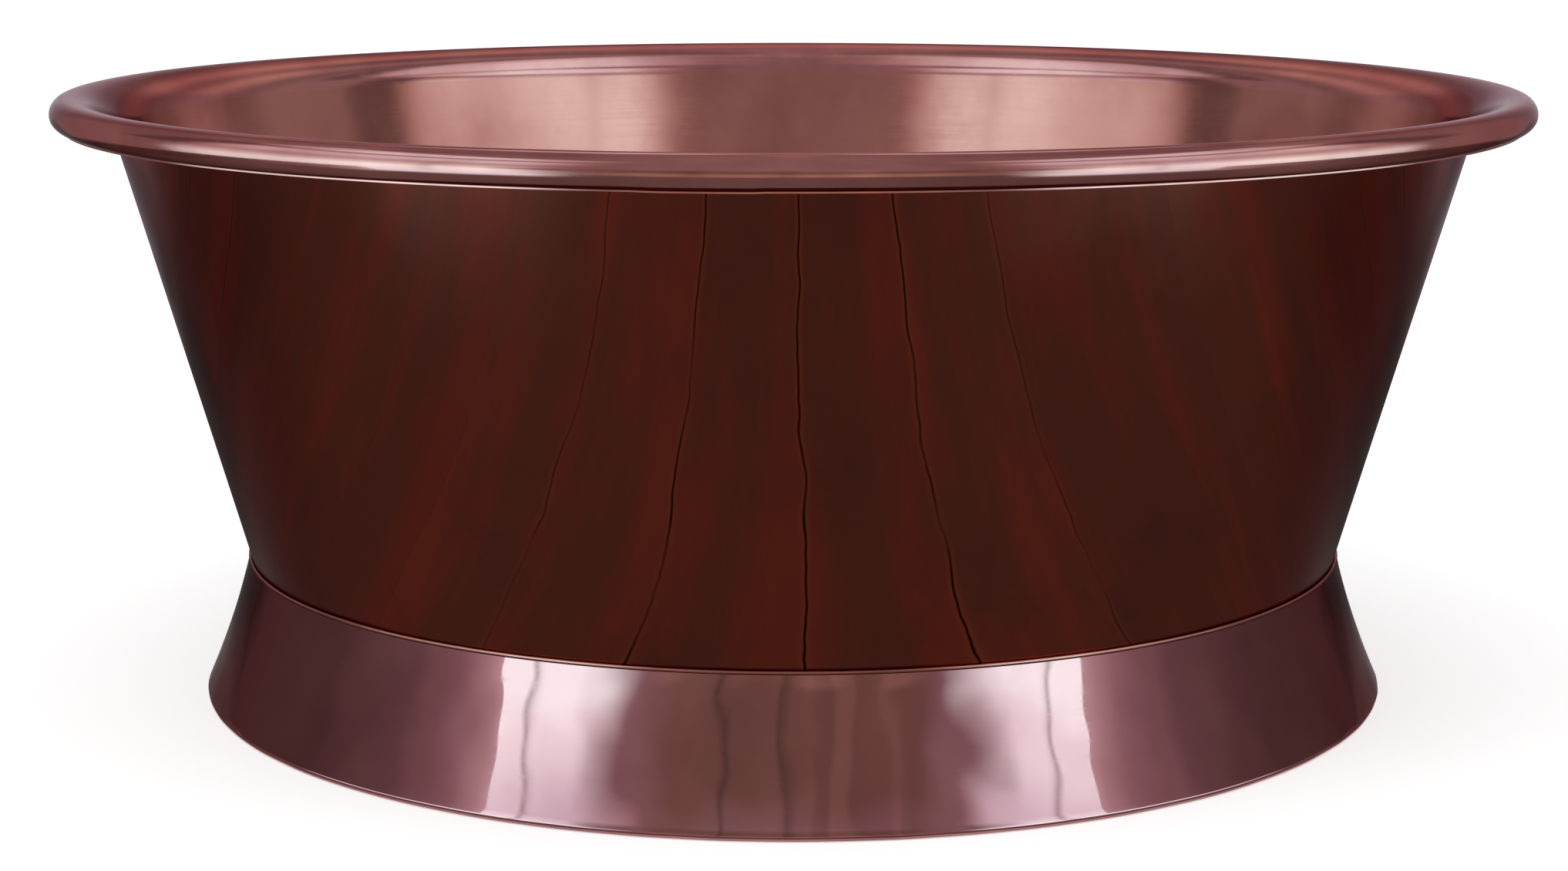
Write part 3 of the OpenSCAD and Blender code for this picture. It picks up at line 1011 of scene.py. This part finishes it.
@dataclass
class PhotoCamera:
    """A camera that stands where the photograph was taken from."""

    focal_pixels: float = 4082.0
    image_width: int = 2034
    distance: float = 3.304
    height: float = 0.868
    pitch: float = 10.55
    centre_offset: float = 11.7

    def place(self) -> None:
        """Makes the scene's camera; a slight turn to the left puts the tub right of centre."""
        data = bpy.data.cameras.new("photo_camera")
        data.sensor_width = 36.0
        data.lens = self.focal_pixels / self.image_width * data.sensor_width
        camera = put("photo_camera", data)
        camera.location = (0.0, -self.distance, self.height)
        turn = math.atan(self.centre_offset / self.focal_pixels)
        camera.rotation_euler = (math.radians(90 - self.pitch), 0.0, turn)
        bpy.context.scene.camera = camera


@dataclass
class LightTent:
    """Grey cloth with lit windows round and over the tub, which only mirrors see.

    The cloth stands 2.6 m from the axis, a ground sheet lies under it, two fan-shaped cards hang
    over the tub, and two low curved screens shade the sides of the plinth. The glow is worked
    out at each point from its angle round the tub, 0 at the front, and its height or its
    distance from the axis.
    """

    radius: float = 2.6
    top: float = 4.6
    around: int = 360
    sheet_inner: float = 0.624
    sheet_height: float = 0.001
    fan_centre: float = 0.8
    fan_height: float = 1.6
    fan_reach: float = 0.86
    screen_radius: float = 1.35
    grey: tuple[float, float, float] = (0.48, 0.44, 0.49)

    def window(self, height: np.ndarray) -> np.ndarray:
        """Light of a window: bright low down and high up, and a dull bar in between.

        Args:
            height: metres above the floor.

        Returns:
            Linear red, green and blue at each height.
        """
        heights = [0.0, 0.62, 0.72, 0.82, 1.0, 1.4, 1.8, 2.1, 2.3, 2.5, 2.72, 2.85, 3.8, 4.0]
        bands = (
            [2.1, 2.3, 2.1, 1.9, 1.55, 1.05, 1.45, 1.65, 1.5, 0.72, 0.72, 1.65, 1.65, 0.5],
            [3.8, 4.25, 3.45, 3.1, 2.3, 1.25, 2.0, 2.5, 2.2, 0.66, 0.66, 2.6, 2.6, 0.44],
            [4.2, 4.4, 3.7, 3.4, 2.7, 1.45, 2.3, 2.9, 2.5, 0.74, 0.74, 3.0, 3.0, 0.49],
        )
        return np.stack([np.interp(height, heights, band) for band in bands], axis=-1)

    def panes(self, side: np.ndarray, height: np.ndarray) -> np.ndarray:
        """Works out how much of the window's light comes through.

        The window reaches from near the front round to the side, and above the dull bar it
        reaches further still. A thin post stands in it at 46 degrees.

        Args:
            side: degrees from the front, to either side.
            height: metres above the floor.

        Returns:
            A share from 0 to 1 at each point.
        """
        angles = [25, 29, 33, 36.5, 44.9, 45.4, 46.4, 46.9, 55, 62, 72, 80, 87, 93]
        light = [0, 0.35, 0.8, 1, 1, 0.4, 0.4, 1, 1, 0.85, 0.68, 0.78, 0.6, 0]
        lean = np.interp(height, [0.6, 0.8, 0.9, 1.1], [0.5, 5.4, 5.4, 0.0])
        wide = np.interp(side - lean * ease(40, 36, side), angles, light)
        high = np.interp(side, [26, 33, 41, 50, 75, 85, 98, 106], [0, 0.35, 0.8, 1, 1, 0.6, 0.5, 0])
        share = ease(2.55, 2.75, height)
        return wide * (1 - share) + high * share

    def front_stripes(self, angle: np.ndarray, height: np.ndarray) -> np.ndarray:
        """Works out the lighter and darker stripes low down at the front of the cloth.

        Args:
            angle: degrees round the tub, from -180 to 180.
            height: metres above the floor.

        Returns:
            A factor at each point.
        """
        bars = ((-11.8, 0.5, -0.35), (-0.6, 0.5, -0.4), (2.6, 0.4, 0.2), (8.3, 1.8, 0.32), (16.5, 0.5, 0.2))
        stripes = 1 + 0.06 * np.cos(np.radians(angle * 21 + 40))
        for place, half, change in bars:
            bar = ease(half + 0.4, half - 0.2, np.abs(angle - place))
            stripes = stripes + change * bar * ease(1.5, 1.2, height)
        return stripes

    def wall_glow(self, angle: np.ndarray, height: np.ndarray) -> np.ndarray:
        """Works out the glow of the cloth wall and ceiling.

        Each zone of the cloth changes its red, green and blue by a share. A window's half lit
        edges are warmer than its middle: green and blue follow a power of its light.

        Args:
            angle: degrees round the tub, from -180 to 180.
            height: metres above the floor.

        Returns:
            Linear red, green and blue at each point.
        """
        side = np.abs(angle)
        middle = ease(27, 20, side)
        hem = np.interp(height, [0.0, 0.5, 0.6, 1.0, 1.2, 2.2], [1.35, 1.3, 0.74, 0.70, 1.02, 0.95])
        front = middle * (hem * self.front_stripes(angle, height) - 1)
        warm = middle * ease(1.2, 1.0, height)
        folds = ease(120, 135, side) * np.cos(np.radians(side * 12))
        strip = ease(90, 94, side) * ease(107, 103, side) * ease(1.1, 1.35, height)
        far = ease(166, 171, side) * ease(0.42, 0.52, height) * ease(1.7, 1.3, height)
        rear = ease(135, 155, side) * ease(1.5, 1.8, height) * ease(3.4, 3.0, height)
        low = ease(0.6, 0.3, height) * ease(129, 134, side) * ease(168, 152, side)
        cloth = np.ones_like(side)[..., None] * np.array(self.grey)
        for zone, change in (
            (front, (1.0, 1.0, 1.0)),
            (warm, (0.0, -0.02, -0.26)),
            (folds, (0.25, 0.25, 0.25)),
            (strip, (-0.5, -0.5, -0.5)),
            (far, (-0.3, -0.5, -0.5)),
            (rear, (0.5, 0.38, 0.22)),
            (low, (-0.5, -0.5, -0.5)),
        ):
            cloth = cloth * (1 + zone[..., None] * np.array(change))
        warmth = 1 + ease(0.9, 1.2, height)[..., None] * np.array([0.0, 0.4, 0.5])
        pane = self.panes(side, height)[..., None] ** warmth
        return cloth * (1 - pane) + self.window(height) * pane

    def ground_glow(self, angle: np.ndarray, radius: np.ndarray) -> np.ndarray:
        """Works out the glow of the ground sheet: dark at the sides, lit far out in front.

        Args:
            angle: degrees round the tub, from -180 to 180.
            radius: metres from the axis.

        Returns:
            Linear red, green and blue at each point.
        """
        side = np.abs(angle)
        flank = ease(66, 88, side) * ease(125, 105, side)
        dim = ease(98, 122, side) * ease(2.5, 1.9, radius)
        gap = ease(129, 132, side) * ease(150, 140, side) * ease(2.1, 2.3, radius)
        level = 0.27 * (1 - 0.25 * flank) * (1 - 0.72 * dim) * (1 - 0.6 * gap)
        sheet = level[..., None] * np.array([1.0, 0.95, 0.95])
        near = ease(1.45, 2.05, radius) * ease(25, 33, side) * ease(60, 54, side)
        far = ease(1.7, 2.5, radius) * ease(54, 60, side) * ease(96, 84, side)
        sheet = sheet * (1 - near[..., None]) + np.array([1.9, 3.4, 4.2]) * near[..., None]
        return sheet * (1 - far[..., None]) + np.array([0.85, 1.1, 1.55]) * far[..., None]

    def screen_glow(self, angle: np.ndarray) -> np.ndarray:
        """Works out the glow of the low screens beside the plinth.

        Args:
            angle: degrees round the tub, 0 at the front.

        Returns:
            Linear red, green and blue at each point.
        """
        stops = [46, 48, 50, 52, 54, 57, 60, 63, 70, 76, 82, 111, 118]
        levels = (
            [1.10, 0.86, 0.72, 0.58, 0.48, 0.42, 0.38, 0.29, 0.25, 0.20, 0.16, 0.15, 0.07],
            [1.25, 0.90, 0.72, 0.54, 0.43, 0.36, 0.33, 0.25, 0.21, 0.16, 0.13, 0.12, 0.05],
            [1.40, 0.99, 0.80, 0.61, 0.50, 0.40, 0.36, 0.28, 0.22, 0.17, 0.13, 0.12, 0.05],
        )
        return np.stack([np.interp(np.abs(angle), stops, level) for level in levels], axis=-1)

    def fan_glow(self, angle: np.ndarray, reach: np.ndarray) -> np.ndarray:
        """Works out the glow of a fan card over the tub.

        Args:
            angle: degrees round the fan's centre, 0 towards the front.
            reach: metres from the fan's centre.

        Returns:
            Linear red, green and blue at each point.
        """
        side = np.abs(angle)
        stops = [6, 12, 16, 20, 26, 34, 40, 48, 56, 70, 76, 82]
        light = np.interp(side, stops, [0, 0.22, 0.42, 0.7, 0.95, 1, 1, 0.85, 0.62, 0.7, 0.6, 0])
        light = light * np.interp(reach, [0.05, 0.15, 0.3, 0.72, 0.86], [0.45, 0.85, 1.0, 1.0, 0.0])
        dark = ease(80, 84, side)[..., None]
        light = light[..., None] ** np.array([1.0, 1.4, 1.4])
        cloth = np.array(self.grey) * (1 - 0.5 * dark)
        return cloth * (1 - light) + np.array([1.65, 2.5, 2.9]) * light

    def hang(self, name: str, grid: np.ndarray, glow: np.ndarray, closed_turn: bool = True) -> None:
        """Makes a cloth from a grid and stores its glow at each point.

        Args:
            name: the cloth's name.
            grid: the cloth's points.
            glow: linear colour at each point.
            closed_turn: whether the cloth goes all the way round.
        """
        cloth = surface(name, grid, self.material, closed_profile=False, closed_turn=closed_turn)
        colours = np.concatenate([glow, np.ones_like(glow[..., :1])], axis=-1).astype(np.float32)
        attribute = cloth.data.color_attributes.new("glow", "FLOAT_COLOR", "POINT")
        attribute.data.foreach_set("color", colours.ravel())
        for kind in ("camera", "diffuse", "transmission", "volume_scatter", "shadow"):
            setattr(cloth, f"visible_{kind}", False)

    def fan(self, side: int) -> None:
        """Hangs a flat fan-shaped card over one side of the tub.

        Args:
            side: -1 for the left and 1 for the right.
        """
        turn = np.radians(np.linspace(5, 100, 96)) * side
        turn, reach = np.meshgrid(turn, np.linspace(0.06, self.fan_reach, 40), indexing="ij")
        grid = place_round(turn, reach, self.fan_height, self.fan_centre)
        self.hang(f"tent_fan_{side + 1}", grid, self.fan_glow(np.degrees(turn), reach), closed_turn=False)

    def screen(self, side: int) -> None:
        """Stands a low curved screen beside the plinth; its foot and its head fall towards the back.

        Args:
            side: -1 for the left and 1 for the right.
        """
        degrees, share = np.meshgrid(np.linspace(46, 118, 109), np.linspace(0, 1, 9), indexing="ij")
        stops = [46, 60, 72, 84, 92, 100, 108]
        foot = np.interp(degrees, stops, [0.23, 0.19, 0.14, 0.08, 0.04, 0.02, 0.003])
        head = np.interp(degrees, stops, [0.42, 0.42, 0.42, 0.38, 0.31, 0.24, 0.18])
        height = foot + (head - foot) * share
        grid = place_round(np.radians(degrees) * side, self.screen_radius, height)
        self.hang(f"tent_screen_{side + 1}", grid, self.screen_glow(degrees), closed_turn=False)

    def pitch(self) -> None:
        """Builds the wall with its ceiling, the ground sheet, the fan cards and the screens."""
        self.material, net = new_material("tent_cloth")
        net.add("OutputMaterial", net.add("Emission", net.add("Attribute", attribute_name="glow"), 1.0))
        wall = line((self.radius, 0.0), (self.radius, self.top), 150)
        ceiling = line((self.radius, self.top), (0.05, self.top), 24)[1:]
        ground = line((self.sheet_inner, self.sheet_height), (self.radius, self.sheet_height), 90)
        angle = turn_degrees(self.around)[:, None]
        wall = np.vstack([wall, ceiling])
        self.hang("tent_wall", revolve(wall, self.around), self.wall_glow(angle, wall[:, 1]))
        self.hang("tent_ground", revolve(ground, self.around), self.ground_glow(angle, ground[:, 0]))
        for side in (-1, 1):
            self.fan(side)
            self.screen(side)


@dataclass
class Studio:
    """A plain pale floor, white surroundings and soft light."""

    floor_reach: float = 60.0
    floor_glow: float = 0.37
    speck_size: float = 0.5
    soft_light: float = 0.8
    lamp_size: float = 1.8

    def floor(self) -> None:
        """Lays a floor that is white where it is lit and keeps the tub's soft shadow."""
        mesh = bpy.data.meshes.new("floor")
        r = self.floor_reach
        corners = [(-r, -r, 0), (r, -r, 0), (r, r, 0), (-r, r, 0)]
        mesh.from_pydata(corners, [], [(0, 1, 2, 3)])
        floor = put("floor", mesh)
        material, net = new_material("studio_floor")
        speck = net.add("TexNoise", net.add("TexCoord", out="Object"), None, 1 / self.speck_size, 2.0)
        tone = net.add("Mix", speck, inputs={6: "F4F4F4", 7: "F1F1F1"}, **BLEND)
        shine = net.add("Math MULTIPLY", net.seen_plainly(), self.floor_glow)
        lit = net.add("AddShader", net.add("BsdfDiffuse", tone), net.add("Emission", "FFFFFF", shine))
        net.add("OutputMaterial", lit)
        mesh.materials.append(material)

    def surroundings(self) -> None:
        """White where the camera, a mirror or glass sees it, and a plain soft light elsewhere."""
        world = bpy.data.worlds.new("studio_white")
        world.use_nodes = True
        net = NodeNet(world.node_tree)
        soft, white = (net.add("Background", "FFFFFF", strength) for strength in (self.soft_light, 1.0))
        net.add("OutputWorld", net.add("MixShader", net.seen_plainly(), soft, white))
        bpy.context.scene.world = world

    def lamps(self) -> None:
        """Hangs two broad soft lamps that only matt surfaces see; the tent stands for them in mirrors."""
        for name, place, power in (
            ("key_lamp", (-1.9, -2.2, 3.2), 32.0),
            ("fill_lamp", (2.2, -1.6, 3.0), 20.0),
        ):
            data = bpy.data.lights.new(name, "AREA")
            data.shape = "SQUARE"
            data.size = self.lamp_size
            data.energy = power
            lamp = put(name, data)
            lamp.location = x, y, z = place
            lamp.rotation_euler = (math.atan2(math.hypot(x, y), z - 0.3), 0.0, math.atan2(-x, y) + math.pi)
            lamp.visible_glossy = False

    def set_up(self) -> None:
        """Builds the whole studio."""
        bpy.context.scene.view_settings.view_transform = "Standard"
        self.surroundings()
        self.floor()
        self.lamps()
        LightTent().pitch()
        PhotoCamera().place()


def main() -> None:
    """Dresses the CAD nodes, builds the copper that shows, and sets up the studio."""
    logging.basicConfig(level=logging.INFO, format="%(name)s: %(message)s")
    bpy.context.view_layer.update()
    Studio().set_up()
    shelf = FinishShelf()
    log.info("CAD nodes dressed: %d", shelf.dress_cad())
    section = TubSection()
    bottom = Bottom(section, shelf)
    plinth = Plinth(section, shelf)
    for piece in (
        TubWall(section, shelf).build(),
        RolledRim(section, shelf).build(),
        bottom.build_cove(),
        bottom.build_floor(),
        plinth.build_skirt(),
        plinth.build_bead(),
        PlugCap(section, shelf).build(),
    ):
        log.info("%s: %d faces", piece.name, len(piece.data.polygons))


if __name__ == "__main__":
    main()
